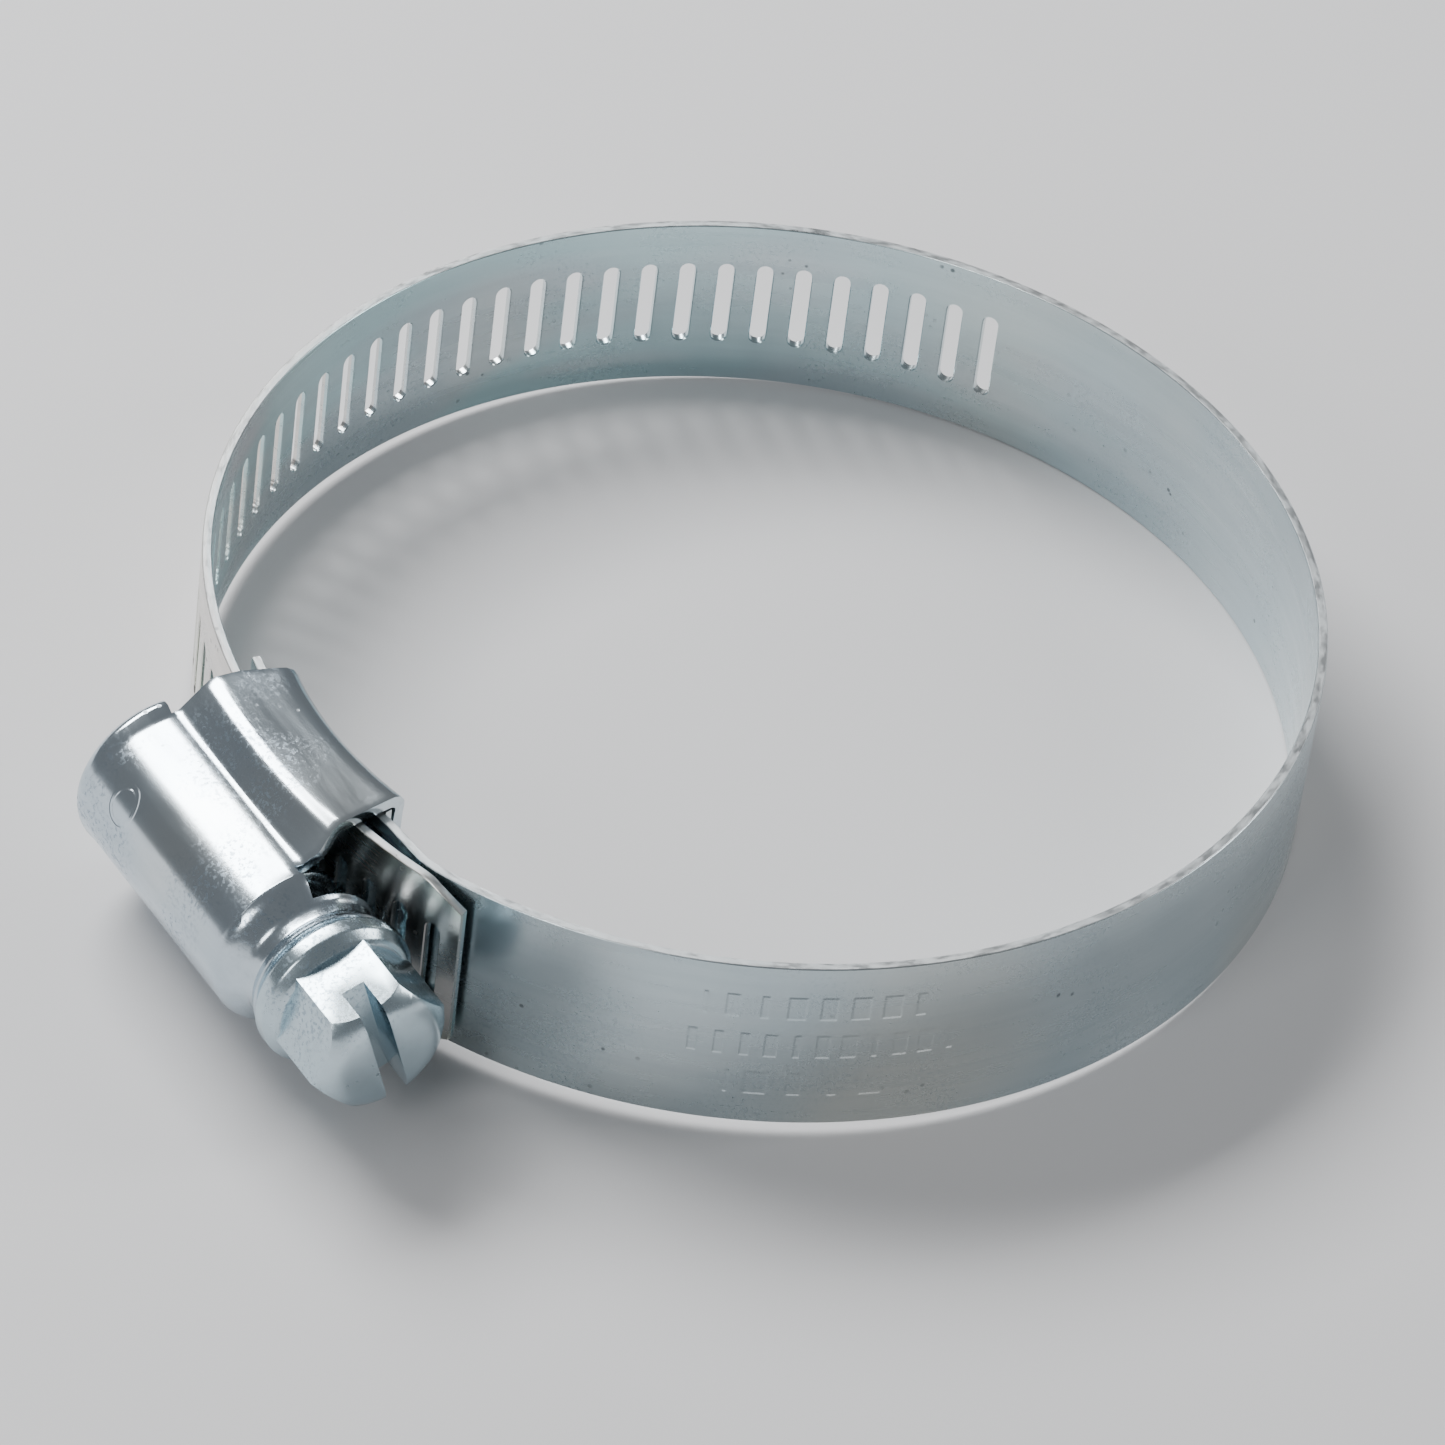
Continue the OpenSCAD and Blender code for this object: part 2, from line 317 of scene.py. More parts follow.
band_nodes = bpy.data.node_groups.new("slotted band", "GeometryNodeTree")
given, band_keys = group_inputs(band_nodes, {
    "Plain run": "NodeSocketObject",
    "Slot tile": "NodeSocketObject",
    "Tip": "NodeSocketObject",
    "Path": "NodeSocketObject",
    "Slot pitch": "NodeSocketFloat",
    "First slot": "NodeSocketFloat",
    "Slots": "NodeSocketInt",
    "Path lead": "NodeSocketFloat",
    "Half width": "NodeSocketFloat",
    "Tip end": "NodeSocketFloat",
    "Tip cut": "NodeSocketFloat",
    "Tip cut length": "NodeSocketFloat",
    "From": "NodeSocketFloat",
    "To": "NodeSocketFloat",
    "Material": "NodeSocketMaterial",
})
t = band_nodes
line = add_node(t, "GeometryNodeMeshLine", {
    "Count": given["Slots"],
    "Start Location": join_xyz(t, given["First slot"], 0.0, 0.0),
    "Offset": join_xyz(t, given["Slot pitch"], 0.0, 0.0),
})
tile_info = add_node(t, "GeometryNodeObjectInfo", {"Object": given["Slot tile"]}, out="Geometry")
tiles = add_node(t, "GeometryNodeInstanceOnPoints", {"Points": line, "Instance": tile_info})
joined = t.nodes.new("GeometryNodeJoinGeometry")
for part in (given["Plain run"], given["Tip"]):
    info = add_node(t, "GeometryNodeObjectInfo", {"Object": part}, out="Geometry")
    t.links.new(info.socket, joined.inputs[0])
t.links.new(tiles.socket, joined.inputs[0])
flat = add_node(t, "GeometryNodeRealizeInstances", {0: Wire(t, joined.outputs[0])})
flat = add_node(t, "GeometryNodeMergeByDistance", {"Geometry": flat, "Distance": 0.004 * mm})
where = add_node(t, "GeometryNodeInputPosition")
along, side, out = split_xyz(t, where)
keep = (along > given["From"]) * (along < given["To"])
chosen = {"Geometry": flat, "Selection": keep}
flat = add_node(t, "GeometryNodeSeparateGeometry", chosen, domain="FACE")
stored = t.nodes.new("GeometryNodeStoreNamedAttribute")
stored.data_type = "FLOAT_VECTOR"
plug(t, stored.inputs["Geometry"], flat)
stored.inputs["Name"].default_value = "band_at"
plug(t, stored.inputs["Value"], where)
cut_from = given["Tip end"] - given["Tip cut length"]
cut = ((along - cut_from) / given["Tip cut length"]).math("MAXIMUM", 0.0) * given["Tip cut"]
margin = given["Half width"] - rim_from
outside = (abs(side) - rim_from).math("MAXIMUM", 0.0) / margin
side = side - side.math("SIGN") * outside * cut
sample = t.nodes.new("GeometryNodeSampleCurve")
sample.mode = "LENGTH"
path_info = add_node(t, "GeometryNodeObjectInfo", {"Object": given["Path"]}, out="Geometry")
plug(t, sample.inputs["Curves"], path_info)
plug(t, sample.inputs["Length"], along + given["Path lead"])
middle = Wire(t, sample.outputs["Position"])
heading_x, heading_y, _ = split_xyz(t, Wire(t, sample.outputs["Tangent"]))
mid_x, mid_y, _ = split_xyz(t, middle)
place = join_xyz(t, mid_x + heading_y * out, mid_y - heading_x * out, side)
curled = add_node(t, "GeometryNodeSetPosition", {
    "Geometry": Wire(t, stored.outputs["Geometry"]),
    "Position": place,
})
real = add_node(t, "GeometryNodeRealizeInstances", {0: curled})
painted = add_node(t, "GeometryNodeSetMaterial", {"Geometry": real, "Material": given["Material"]})
t.links.new(painted.socket, t.nodes.new("NodeGroupOutput").inputs[0])


def plated_steel(name, tints, gloss, coords, grain, speckle, stamp=None, film=None, cut=None):
    """Zinc plate with a thin blue film. tints are (base, cool, warm), grain is the rolling's
    stretch, and speckle is how worn it is. stamp marks what is pressed in, cut marks the bare
    sheared edges, and film tints the colour by place."""
    material = bpy.data.materials.new(name)
    material.use_nodes = True
    tree = material.node_tree
    shader = tree.nodes["Principled BSDF"]
    if coords == "Object":
        at = add_node(tree, "ShaderNodeTexCoord", out="Object")
    else:
        at = add_node(tree, "ShaderNodeAttribute", out="Vector", attribute_name=coords)
    broad = noise(tree, at, 90, 2, 0.45, (1, 1.4, 1))
    drift = noise(tree, at, 38, 1, 0.4, (1.3, 1, 1.1))
    streaks = noise(tree, at, 900, 3, 0.6, grain)
    specks = noise(tree, at, 3600, 3, 0.65)
    worn = ramp(tree, noise(tree, at, 130, 3, 0.6), 0.46, 0.62)
    pits = add_node(tree, "ShaderNodeTexVoronoi", {"Vector": at, "Scale": 900.0, "Randomness": 1.0})
    spotted = ramp(tree, noise(tree, at, 210, 1), 0.60, 0.68)
    spots = ramp(tree, pits, 0.10, 0.17, 1.0, 0.0) * spotted
    flecks = ramp(tree, specks, 0.52, 0.60) * worn * speckle
    colour = mix_colour(tree, ramp(tree, broad, 0.35, 0.65), tints[0], tints[1])
    colour = mix_colour(tree, ramp(tree, drift, 0.50, 0.72, 0.0, 0.75), colour, tints[2])
    if film:
        colour = film(tree, at, colour)
    dull_blue, slate, pit_black = (0.30, 0.37, 0.42), (0.22, 0.30, 0.38), (0.10, 0.11, 0.12)
    colour = mix_colour(tree, ramp(tree, streaks, 0.35, 0.75, 0.0, 0.22), colour, dull_blue)
    colour = mix_colour(tree, flecks * 0.6, colour, slate)
    colour = mix_colour(tree, spots * 0.7, colour, pit_black)
    rough = gloss + ramp(tree, streaks, 0.3, 0.7, -0.03, 0.05)
    rough = rough + ramp(tree, broad, 0.3, 0.7, 0.0, 0.06) + spots * 0.25 + flecks * 0.16
    scored = noise(tree, at, 420, 2, 0.5, (0.12, 1.0, 1.0))
    scratch = ramp(tree, abs(scored - 0.5), 0.0, 0.012, 1.0, 0.0) * worn
    height = streaks * 0.3 + specks * (0.12 + 0.5 * speckle * worn)
    height = height - spots * 0.8 - scratch * 0.25 * speckle
    if cut:
        bare = cut(tree, at)
        ragged = noise(tree, at, 2400, 2, 0.6, (0.35, 1.0, 1.0))
        sheared_grey = (0.60, 0.62, 0.63)
        colour = mix_colour(tree, bare * 0.8, colour, sheared_grey)
        rough = rough + bare * ramp(tree, ragged, 0.35, 0.65, 0.05, 0.30)
        height = height + bare * ragged * 2.5
    if stamp:
        height = height - stamp(tree, at) * 6.0
    depth = {"Height": height, "Distance": 0.012 * mm, "Strength": 0.6}
    bump = add_node(tree, "ShaderNodeBump", depth)
    shader.inputs["Metallic"].default_value = 1.0
    plug(tree, shader.inputs["Base Color"], colour)
    plug(tree, shader.inputs["Roughness"], rough)
    plug(tree, shader.inputs["Normal"], bump)
    return material


def size_marks(tree, at):
    """Three rows of plain pressed bars of uneven width, on the outer face by the housing."""
    along, side, out = split_xyz(tree, at)
    rows = ((18.2, 31.5, 1.9), (16.5, 33.5, 1.55), (20.0, 30.0, 2.3))
    row_apart = 3.1 * mm
    total = None
    for row, (start, end, every) in enumerate(rows):
        level = row_apart * (1 - row)
        inside = (along > start * mm) * (along < end * mm) * (out > 0.0)
        place = along / (every * mm)
        shuffled = (place.math("FLOOR") * 12.9898 + row * 4.7).math("SINE")
        wide = 0.13 + (shuffled * 437.58).math("FRACT") * 0.22
        bar = (wide - abs(place.math("FRACT") - 0.5)) * 14.0
        bar = bar.math("MAXIMUM", 0.0).math("MINIMUM", 1.0)
        bar = bar * ramp(tree, abs(side - level), 0.8 * mm, 0.95 * mm, 1.0, 0.0) * inside
        total = bar if total is None else total.math("MAXIMUM", bar)
    return total


def plating_film(tree, at, colour):
    """The film's faint colours: cream and pink outside near the housing, turquoise inside."""
    along, side, out = split_xyz(tree, at)
    outer = (out > 0.0) * ramp(tree, along, 138 * mm, 168 * mm)
    inner = (out < 0.0) * ramp(tree, along, 96 * mm, 150 * mm)
    bands = noise(tree, at, 120, 2, 0.5, (0.25, 1.0, 1.0))
    cream, straw = (0.82, 0.74, 0.68), (0.72, 0.78, 0.66)
    turquoise, violet = (0.48, 0.72, 0.75), (0.80, 0.72, 0.74)
    colour = mix_colour(tree, outer * 0.75, colour, cream)
    colour = mix_colour(tree, outer * ramp(tree, bands, 0.50, 0.62) * 0.5, colour, straw)
    colour = mix_colour(tree, inner * ramp(tree, bands, 0.44, 0.54) * 0.7, colour, turquoise)
    return mix_colour(tree, inner * ramp(tree, bands, 0.60, 0.68) * 0.6, colour, violet)


def sheared(tree, at):
    """One on the strip's two sheared edges."""
    _, side, _ = split_xyz(tree, at)
    return ramp(tree, abs(side), width / 2 - 0.05 * mm, width / 2 - 0.02 * mm)


band_steel = plated_steel(
    "zinc-plated band", ((0.55, 0.65, 0.69), (0.62, 0.71, 0.74), (0.70, 0.71, 0.66)),
    0.21, "band_at", (0.06, 1.0, 1.0), 0.3, size_marks, plating_film, sheared,
)


def on_path(s):
    """The point on the strip's middle at length s from the kink."""
    left = s + path_lead
    for a, b in zip(path_points, path_points[1:]):
        if left <= (b - a).length:
            p = a.lerp(b, left / (b - a).length)
            return Vector((p.x, p.y, 0))
        left -= (b - a).length
    return Vector((*path_points[-1], 0))


def true_normals(obj):
    """Both broad faces take the curve's own normal, so the lengths meet without a seam."""
    mesh = obj.data
    flat_at = np.empty(len(mesh.vertices) * 3)
    mesh.attributes["band_at"].data.foreach_get("vector", flat_at)
    flat_at = flat_at.reshape(-1, 3)
    spots = np.array([tuple(p) for p in path_points])
    gaps = np.diff(spots, axis=0)
    lengths = np.concatenate([[0], np.cumsum(np.linalg.norm(gaps, axis=1))])
    middles = (lengths[1:] + lengths[:-1]) / 2
    angle = np.unwrap(np.arctan2(gaps[:, 1], gaps[:, 0]))
    heading = np.interp(flat_at[:, 0] + path_lead, middles, angle)
    outward = np.stack([np.sin(heading), -np.cos(heading), heading * 0], axis=1)
    corner = np.empty(len(mesh.loops) * 3)
    mesh.corner_normals.foreach_get("vector", corner)
    corner = corner.reshape(-1, 3)
    for face in mesh.polygons:
        level = flat_at[list(face.vertices), 2]
        if abs(abs(level[0]) - thick / 2) < 1e-6 and np.ptp(level) < 1e-6:
            for loop in face.loop_indices:
                corner[loop] = outward[mesh.loops[loop].vertex_index] * np.sign(level[0])
    mesh.normals_split_custom_set([tuple(c) for c in corner])


ends = [-path_lead - mm] + [s * mm for s in split_at] + [tip_end + mm]
names = ["band_fixed_end"] + [f"band_stretch_{i:02d}" for i in range(1, 11)] + ["band_free_end"]
for k, bend in enumerate(bend_at):
    length = bpy.data.objects.new(names[k], bpy.data.meshes.new(names[k]))
    bpy.context.scene.collection.objects.link(length)
    curl = length.modifiers.new("slotted band", "NODES")
    curl.node_group = band_nodes
    values = {
        "Plain run": plain, "Slot tile": tile, "Tip": tip, "Path": path, "Slot pitch": pitch,
        "First slot": first_slot, "Slots": slots, "Path lead": path_lead, "Half width": width / 2,
        "Tip end": tip_end, "Tip cut": tip_cut, "Tip cut length": tip_cut_long,
        "From": ends[k], "To": ends[k + 1], "Material": band_steel,
    }
    for name, value in values.items():
        curl[band_keys[name]] = value
    solid_from(length, f"band_length_{k + 1:02d}")
    length.data.set_sharp_from_angle(angle=math.radians(35))
    true_normals(length)
    reach = 3 * mm if k == 0 else min(bend * mm - ends[k], ends[k + 1] - bend * mm)
    if k == 10:
        reach = bend * mm - ends[k]
    start, end = on_path(bend * mm - reach), on_path(bend * mm + reach)
    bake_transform(length)
    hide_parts(names[k], names[k + 1])
for helper in (plain, tip, tile, path):
    bpy.data.objects.remove(helper)


# ---------------------------------------------------------------------------------------------
# The housing. One pressing of bright zinc-plated sheet: an arch over the worm, a valley and a
# sharp shoulder on each side, and side walls folded in under the band. Its right end is rolled
# down round the screw's neck.
# ---------------------------------------------------------------------------------------------
sheet = 0.75 * mm
worm_y = -38.6585 * mm
arch_out, arch_side = 5.35 * mm, 5.05 * mm
foot_mid, ridge_mid, wall_mid, foot_in = 37.15 * mm, 41.75 * mm, 6.95 * mm, 2.75 * mm


def rounded(points, radii, steps=6):
    """A polyline with each inner corner turned at its radius."""
    made = [Vector(points[0])]
    for a, b, c, r in zip(points, points[1:], points[2:], radii):
        a, b, c = Vector(a), Vector(b), Vector(c)
        u, v = (a - b).normalized(), (c - b).normalized()
        half = u.angle(v) / 2
        back = min(r / math.tan(half), 0.45 * (a - b).length, 0.45 * (c - b).length)
        p, q = b + u * back, b + v * back
        made += [p * (1 - s) ** 2 + b * 2 * s * (1 - s) + q * s * s for s in np.linspace(0, 1, steps)]
    return made + [Vector(points[-1])]


def face_outward(obj):
    """Faces wound outward and smooth."""
    made = bmesh.new()
    made.from_mesh(obj.data)
    bmesh.ops.recalc_face_normals(made, faces=made.faces)
    made.to_mesh(obj.data)
    made.free()
    obj.data.polygons.foreach_set("use_smooth", [True] * len(obj.data.polygons))


def housing_mesh(name):
    """Half the sheet's middle surface, as grids that share their edges, then its mirror image."""
    points, faces = [], []
    arch_r, arch_from, shoulder_from, shoulder_to, neck_from = 5.2, -6.8, -5.9, 9.0, 10.9

    def grid(rows):
        base, n = len(points), len(rows[0])
        points.extend(p for row in rows for p in row)
        for i in range(len(rows) - 1):
            for j in range(n - 1):
                a = base + i * n + j
                faces.append((a, a + 1, a + n + 1, a + n))

    left = rounded([(arch_from, 2.45), (arch_from, arch_r), (shoulder_from, arch_r)], [1.1])
    middle = [Vector((x, arch_r)) for x in np.linspace(shoulder_from, shoulder_to, 30)]
    rim_line = [(shoulder_to, arch_r), (10.2, arch_r), (11.4, 3.98), (12.6, 3.92), (13.38, 4.30)]
    right = rounded(rim_line, [1.6, 1.3, 1.0])
    stations = left[:-1] + middle + right[1:]
    first, last = len(left) - 1, len(left) + len(middle) - 2
    angles = np.linspace(0, math.pi / 2, 17)

    def arc_depth(radius, x):
        """How far out an arc about the channel's centre lies, at x."""
        return math.sqrt(radius ** 2 - (x * mm - channel_c.x) ** 2) - channel_c.y

    def ring(x, r, turn):
        out_r = r * arch_out / arch_r
        side_r = r * (arch_side if -6.0 < x < 10 else arch_out) / arch_r
        return (x * mm, worm_y - out_r * math.cos(turn), side_r * math.sin(turn))

    grid([[ring(x, r, a) for a in angles] for x, r in stations])
    rim = [s for s in stations if s[0] > neck_from]
    grid([[ring(x, r, a) for a in np.linspace(math.pi / 2, math.pi, 17)] for x, r in rim])
    left_run, left_x = [0, 0.3, 0.42, 0.78, 1], [-5.9, -5.75, -5.6, -4.1, -3.9]
    right_run, right_x = [0, 0.16, 0.3, 0.42, 0.78, 1], [9.0, 9.35, 8.75, 8.5, 7.9, 7.8]
    rows = []
    for k in range(first, last + 1):
        ridge, foot = (arc_depth(radius, stations[k][0]) for radius in (ridge_mid, foot_mid))
        line = [(-worm_y, arch_side), (-worm_y - 0.55 * mm, arch_side - 0.05 * mm)]
        line += [(ridge + 0.15 * mm, wall_mid), (foot, wall_mid), (foot, foot_in)]
        profile = np.array([tuple(p) for p in rounded(line, [1.3 * mm, 0.55 * mm, 0.8 * mm])])
        steps = np.linalg.norm(np.diff(profile, axis=0), axis=1)
        runs = np.concatenate([[0], np.cumsum(steps)])
        even = np.linspace(0, runs[-1], 34)
        out = np.interp(even, runs, profile[:, 0])
        up = np.interp(even, runs, profile[:, 1])
        start = np.interp(even / runs[-1], left_run, left_x)
        end = np.interp(even / runs[-1], right_run, right_x)
        along = start + (k - first) / (last - first) * (end - start)
        rows.append([(x * mm, -v, z) for x, v, z in zip(along, out, up)])
    grid(rows)
    n = len(points)
    points.extend([(x, y, -z) for x, y, z in points])
    faces.extend([tuple(n + i for i in reversed(face)) for face in faces])
    return new_mesh(name, points, faces)


pressing = housing_mesh("housing")
thicken = pressing.modifiers.new("sheet", "SOLIDIFY")
thicken.thickness, thicken.offset, thicken.use_even_offset = sheet, 0, True
ease = pressing.modifiers.new("eased edges", "BEVEL")
ease.width, ease.segments = 0.09 * mm, 2
ease.limit_method, ease.angle_limit = "ANGLE", math.radians(50)
solid_from(pressing, "housing_pressing")
face_outward(pressing)
pressing.data.set_sharp_from_angle(angle=math.radians(42))


def ring_mark(tree, at):
    """A plain ring pressed into the arch."""
    x, y, z = split_xyz(tree, at)
    mark_x, mark_z, mark_r, outer_side = -2.5 * mm, 2.6 * mm, 1.05 * mm, -41 * mm
    away = ((x - mark_x) ** 2.0 + (z - mark_z) ** 2.0).math("SQRT")
    ring = ramp(tree, abs(away - mark_r), 0.09 * mm, 0.17 * mm, 1.0, 0.0)
    return ring * (y < outer_side) * 0.7


bright_zinc = plated_steel(
    "bright zinc pressing", ((0.66, 0.74, 0.79), (0.58, 0.68, 0.76), (0.74, 0.76, 0.73)),
    0.13, "Object", (0.15, 1.0, 1.0), 1.0, ring_mark,
)
pressing.data.materials.clear()
pressing.data.materials.append(bright_zinc)
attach(pressing, "housing_body")
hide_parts("housing")


# ---------------------------------------------------------------------------------------------
# The saddle. A thin inner plate under the band, held by its square lug, which stands through
# the hole in the band's fixed end. It keeps its plain shape, in the same plated steel.
# ---------------------------------------------------------------------------------------------
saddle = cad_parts["saddle"]
saddle_steel = plated_steel(
    "zinc-plated saddle", ((0.60, 0.68, 0.72), (0.64, 0.72, 0.75), (0.72, 0.73, 0.69)),
    0.24, "Object", (0.1, 1.0, 1.0), 0.4,
)
saddle.data.materials.clear()
saddle.data.materials.append(saddle_steel)


# ---------------------------------------------------------------------------------------------
# The worm screw. One forging, zinc plated with a bluer film: a pilot, the thread that works in
# the band's slots, a neck, a rounded collar, and a domed hex head sawn across for a driver.
# ---------------------------------------------------------------------------------------------
core_r, crest_r = 3.4 * mm, 4.2 * mm
head_x, head_end = 15.6 * mm, 20.8 * mm
head_turn = math.radians(73)


def turned(name, outline, segments=96, start=0.0):
    """A solid turned about the screw's axis from (along, radius) points; both ends lie on it."""
    points, faces = [], []
    for x, r in outline:
        for k in range(segments):
            a = start + 2 * math.pi * k / segments
            points.append((x, worm_y + r * math.cos(a), r * math.sin(a)))
    for i in range(len(outline) - 1):
        for k in range(segments):
            a, b = i * segments + k, i * segments + (k + 1) % segments
            faces.append((a, b, b + segments, a + segments))
    return new_mesh(name, points, faces)


pilot_from, thread_from, thread_to, collar_from, collar_to = -7.0, -6.3, 9.5, 13.55, 15.65
pilot_r, thread_r, neck_r, collar_r = 2.1, 3.4, 3.5, 5.08
body_line = [(pilot_from, 0), (pilot_from, pilot_r), (thread_from, pilot_r)]
body_line += [(thread_from, thread_r), (thread_to, thread_r), (thread_to + 0.4, neck_r)]
body_line += [(collar_from - 0.2, neck_r), (collar_from, neck_r + 0.25)]
body_line += [(collar_from, collar_r - 0.33), (collar_from + 0.4, collar_r)]
body_line += [(collar_to - 0.75, collar_r), (collar_to - 0.2, collar_r - 0.48)]
body_line += [(collar_to, collar_r - 0.78), (collar_to, 0)]
body_radii = [0.001, 0.1, 0.05, 0.1, 0.3, 0.3, 0.12, 0.05, 0.3, 0.35, 0.5, 0.4, 0.05]
soft_line = rounded(body_line, body_radii, 4)
shank = turned("screw_shank", [(x * mm, r * mm) for x, r in soft_line])
face_outward(shank)
shank.data.set_sharp_from_angle(angle=math.radians(35))

thread_nodes = bpy.data.node_groups.new("worm thread", "GeometryNodeTree")
given, thread_keys = group_inputs(thread_nodes, {
    "Start": "NodeSocketFloat",
    "Turns": "NodeSocketFloat",
    "Lead": "NodeSocketFloat",
    "Phase": "NodeSocketFloat",
    "Core radius": "NodeSocketFloat",
    "Crest radius": "NodeSocketFloat",
    "Root half width": "NodeSocketFloat",
    "Crest half width": "NodeSocketFloat",
    "Axis Y": "NodeSocketFloat",
    "Material": "NodeSocketMaterial",
})
t = thread_nodes
sheet_grid = add_node(t, "GeometryNodeMeshGrid", {
    "Size X": 1.0, "Size Y": 1.0, "Vertices X": 420, "Vertices Y": 10,
})
u, v, _ = split_xyz(t, add_node(t, "GeometryNodeInputPosition"))
u = u + 0.5
round_off = ramp(t, abs(v), 0.5, 0.10)
ends_fade = (u.math("MINIMUM", 1 - u) * given["Turns"] * 2.6).math("MINIMUM", 1.0)
lift = (given["Crest radius"] - given["Core radius"]) * round_off * ends_fade
sunk = 0.1 * mm
radius = given["Core radius"] - sunk + lift + sunk * round_off
spread = ramp(t, abs(v), 0.10, 0.5, 0.0, 1.0)
half = given["Crest half width"] * ramp(t, abs(v), 0.0, 0.10)
half = half + (given["Root half width"] - given["Crest half width"]) * spread
turn = given["Phase"] + u * given["Turns"] * (2 * math.pi)
x = given["Start"] + u * given["Turns"] * given["Lead"] + half * v.math("SIGN")
y = given["Axis Y"] + radius * turn.math("COSINE")
place = join_xyz(t, x, y, radius * turn.math("SINE"))
wound = add_node(t, "GeometryNodeSetPosition", {"Geometry": sheet_grid, "Position": place})
real = add_node(t, "GeometryNodeRealizeInstances", {0: wound})
painted = add_node(t, "GeometryNodeSetMaterial", {"Geometry": real, "Material": given["Material"]})
t.links.new(painted.socket, t.nodes.new("NodeGroupOutput").inputs[0])

blue_zinc = plated_steel(
    "blue zinc screw", ((0.55, 0.68, 0.74), (0.60, 0.72, 0.78), (0.70, 0.74, 0.73)),
    0.18, "Object", (1.0, 0.6, 0.6), 0.9,
)
mouth_run = (mouth_az - kink_az) % (2 * math.pi) * ring_r - first_slot
apex_run = mouth_run + (math.radians(270) - mouth_az) * channel_r
apex_az = mouth_az + (pitch * math.ceil(apex_run / pitch) - mouth_run) / channel_r
crest_x = channel_c.x + channel_r * math.cos(apex_az)
thread_start = -5.8 * mm
thread = bpy.data.objects.new("thread", bpy.data.meshes.new("thread"))
bpy.context.scene.collection.objects.link(thread)
wind = thread.modifiers.new("worm thread", "NODES")
wind.node_group = thread_nodes
values = {
    "Start": thread_start, "Turns": 5.6, "Lead": pitch, "Core radius": core_r,
    "Phase": 2 * math.pi * (thread_start - crest_x) / pitch, "Crest radius": crest_r,
    "Root half width": 0.43 * mm, "Crest half width": 0.15 * mm, "Axis Y": worm_y,
    "Material": blue_zinc,
}
for name, value in values.items():
    wind[thread_keys[name]] = value
solid_from(thread, "screw_thread")
thread.data.polygons.foreach_set("use_smooth", [True] * len(thread.data.polygons))


flats = 4.0 * mm / math.cos(math.pi / 6)
hex_back = head_x - 0.2 * mm
hex_line = [(hex_back, 0), (hex_back, flats), (head_end, flats), (head_end, 0)]
hexagon = turned("hex head", hex_line, 6, math.radians(30))
dome_line = [(-5.6, 0), (-5.6, 6), (-2.4, 5.2), (-1.4, 4.75)]
dome_line += [(-0.7, 4.25), (-0.2, 3.6), (0, 2.9), (0, 0)]
dome = turned("dome", [(head_end + x * mm, r * mm) for x, r in dome_line])
saw_deep, saw_wide, saw_past = 2.7 * mm, 1.5 * mm, 0.7 * mm
cut_box = bmesh.new()
bmesh.ops.create_cube(cut_box, size=1)
bmesh.ops.scale(cut_box, vec=(saw_deep + saw_past, 12 * mm, saw_wide), verts=cut_box.verts)
cut_at = (head_end + (saw_past - saw_deep) / 2, worm_y, 0)
bmesh.ops.translate(cut_box, vec=cut_at, verts=cut_box.verts)
saw = new_mesh("saw", [], [])
cut_box.to_mesh(saw.data)
cut_box.free()
for solid in (hexagon, dome):
    face_outward(solid)
axis = Matrix.Translation((0, worm_y, 0))
spin = axis @ Matrix.Rotation(-head_turn, 4, "X") @ axis.inverted()
for tool, kind in ((dome, "INTERSECT"), (saw, "DIFFERENCE")):
    cut = hexagon.modifiers.new(kind.lower(), "BOOLEAN")
    cut.object, cut.operation, cut.solver = tool, kind, "EXACT"
ease = hexagon.modifiers.new("eased edges", "BEVEL")
ease.width, ease.segments = 0.14 * mm, 3
ease.limit_method, ease.angle_limit = "ANGLE", math.radians(28)
solid_from(hexagon, "screw_head")
hexagon.data.transform(spin)
hexagon.data.polygons.foreach_set("use_smooth", [True] * len(hexagon.data.polygons))
hexagon.data.set_sharp_from_angle(angle=math.radians(50))
for helper in (dome, saw):
    bpy.data.objects.remove(helper)
for part in (shank, thread, hexagon):
    part.data.materials.clear()
    part.data.materials.append(blue_zinc)
    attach(part, "screw")
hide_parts("worm_screw")


# ---------------------------------------------------------------------------------------------
# The floor, the light and the camera. A pale matt sheet, leant so that the housing's side and
# the ring's far edge both rest on it; a large soft light high behind and to the left, weaker
# ones at the right and in front, and a long lens looking down at the ring.
# ---------------------------------------------------------------------------------------------
floor_mesh = bpy.data.meshes.new("floor")
low_z, rest_y, lean = -7.36 * mm, -36.5 * mm, 1 / 71
corners = ((-3, -3), (3, -3), (3, 3), (-3, 3))
floor_points = [(x, y, low_z + (y - rest_y) * lean) for x, y in corners]
floor_mesh.from_pydata(floor_points, [], [(0, 1, 2, 3)])
floor = bpy.data.objects.new("floor", floor_mesh)
bpy.context.scene.collection.objects.link(floor)
pale = bpy.data.materials.new("pale matt floor")
pale.use_nodes = True
tree = pale.node_tree
at = add_node(tree, "ShaderNodeTexCoord", out="Object")
shader = tree.nodes["Principled BSDF"]
cloud = noise(tree, at, 9, 2)
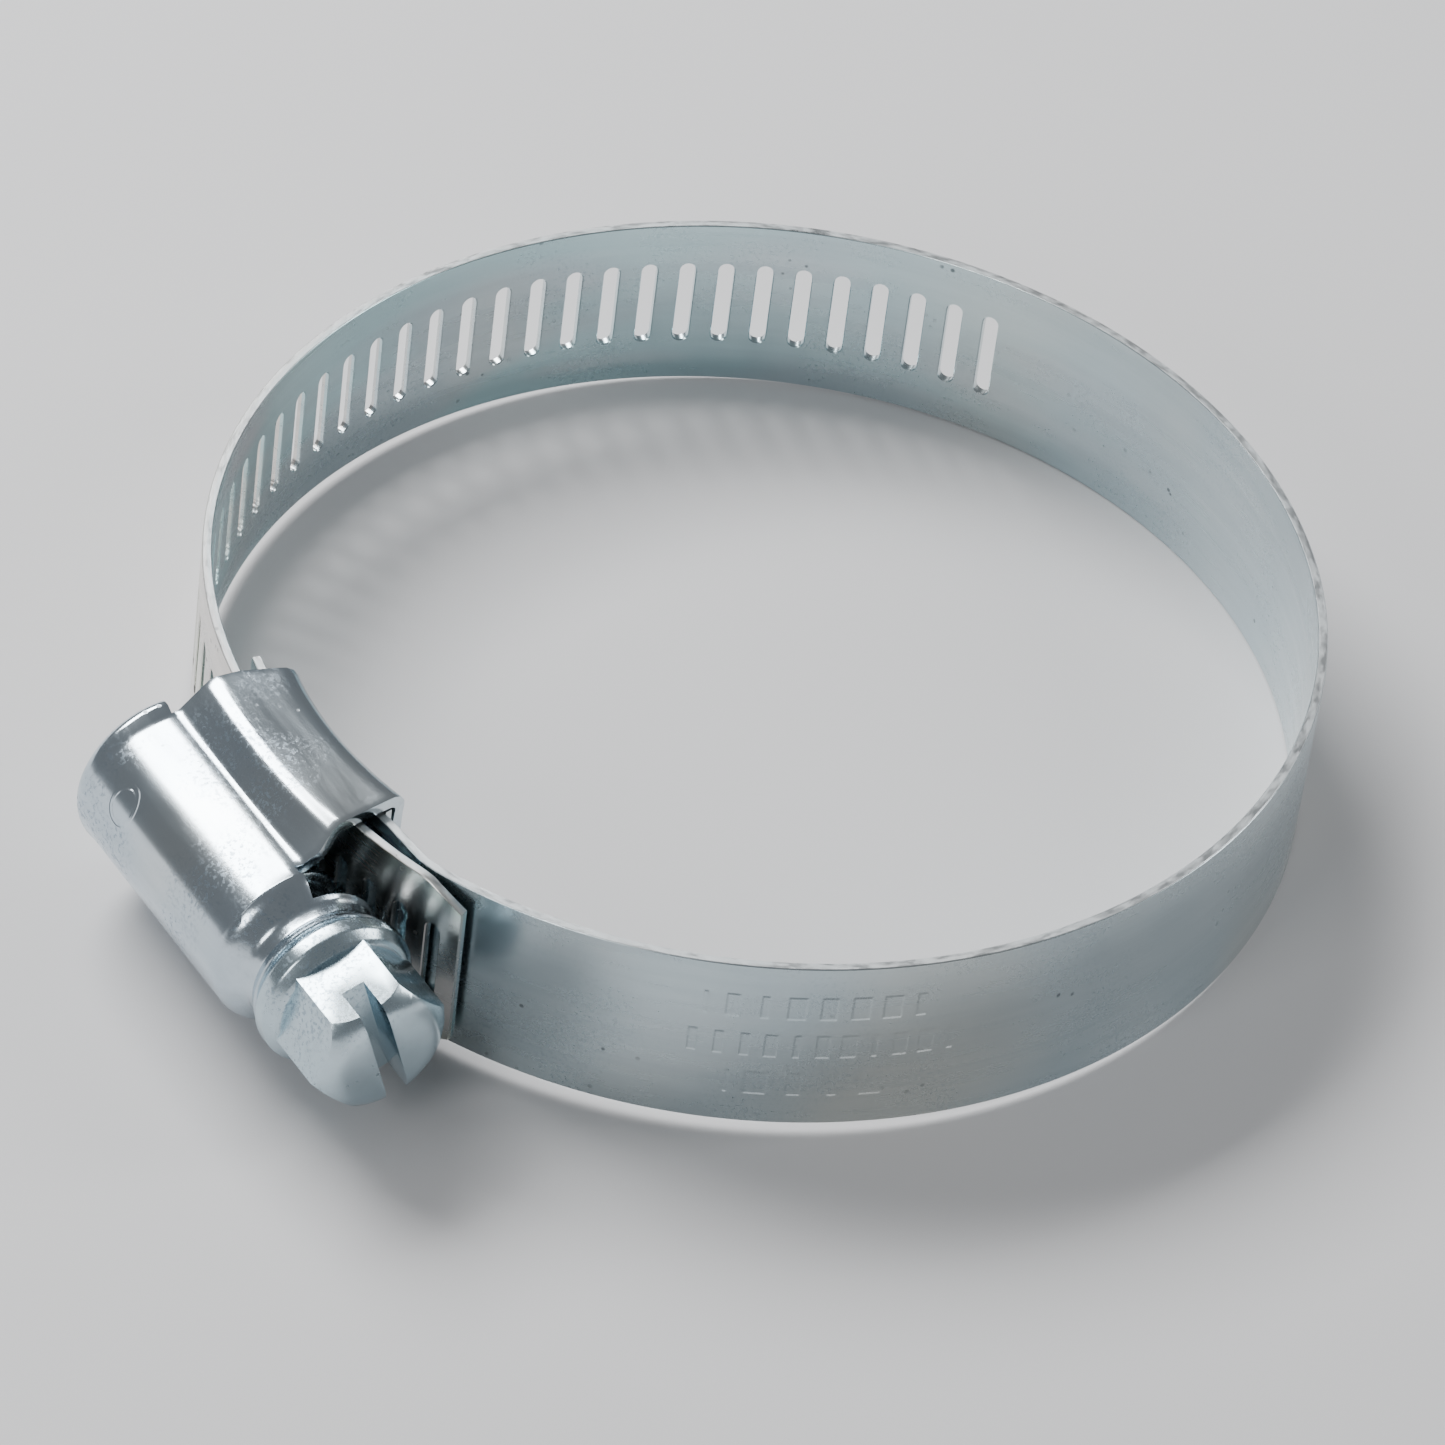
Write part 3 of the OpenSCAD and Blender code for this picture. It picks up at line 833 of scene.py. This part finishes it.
floor_colour = mix_colour(tree, cloud, (0.64, 0.64, 0.65), (0.67, 0.67, 0.68))
plug(tree, shader.inputs["Base Color"], floor_colour)
shader.inputs["Roughness"].default_value = 0.6
shader.inputs["Specular IOR Level"].default_value = 0.25
floor_mesh.materials.append(pale)

target = Vector((0.0045, -0.0053, 0))
sight = Vector((-0.5955, 0.4488, -0.6663)).normalized()
right = Vector((0.6018, 0.7986, 0)).normalized()
upward = right.cross(sight).normalized()
back = Vector((sight.x, sight.y, 0)).normalized()


def softbox(name, place, size, power):
    light = bpy.data.lights.new(name, "AREA")
    light.shape, light.size, light.size_y = "RECTANGLE", size[0], size[1]
    light.energy = power
    obj = bpy.data.objects.new(name, light)
    bpy.context.scene.collection.objects.link(obj)
    obj.location = place
    obj.rotation_mode = "QUATERNION"
    obj.rotation_quaternion = (target - place).to_track_quat("-Z", "Y")


key_at = target + back * 0.30 - right * 0.31 + Vector((0, 0, 0.42))
rim_at = target + back * 0.10 + right * 0.50 + Vector((0, 0, 0.26))
front_at = target - back * 0.42 - right * 0.30 + Vector((0, 0, 0.30))
softbox("key", key_at, (0.44, 0.26), 6.6)
softbox("rim", rim_at, (0.14, 0.34), 1.0)
softbox("front", front_at, (0.20, 0.20), 0.9)
world = bpy.data.worlds.new("room")
world.use_nodes = True
sky = world.node_tree.nodes["Background"]
sky.inputs["Color"].default_value = (0.80, 0.82, 0.85, 1)
sky.inputs["Strength"].default_value = 0.25
bpy.context.scene.world = world

roll = math.radians(7.7)
cam_x = right * math.cos(roll) + upward * math.sin(roll)
cam_y = upward * math.cos(roll) - right * math.sin(roll)
lens = bpy.data.cameras.new("camera")
lens.sensor_width, lens.lens = 36, 217.87
lens.clip_start, lens.clip_end = 0.05, 10
camera = bpy.data.objects.new("camera", lens)
bpy.context.scene.collection.objects.link(camera)
turn = Matrix((cam_x, cam_y, -sight)).transposed().to_4x4()
camera.matrix_world = Matrix.Translation((0.32444, -0.24644, 0.35802)) @ turn
bpy.context.scene.camera = camera
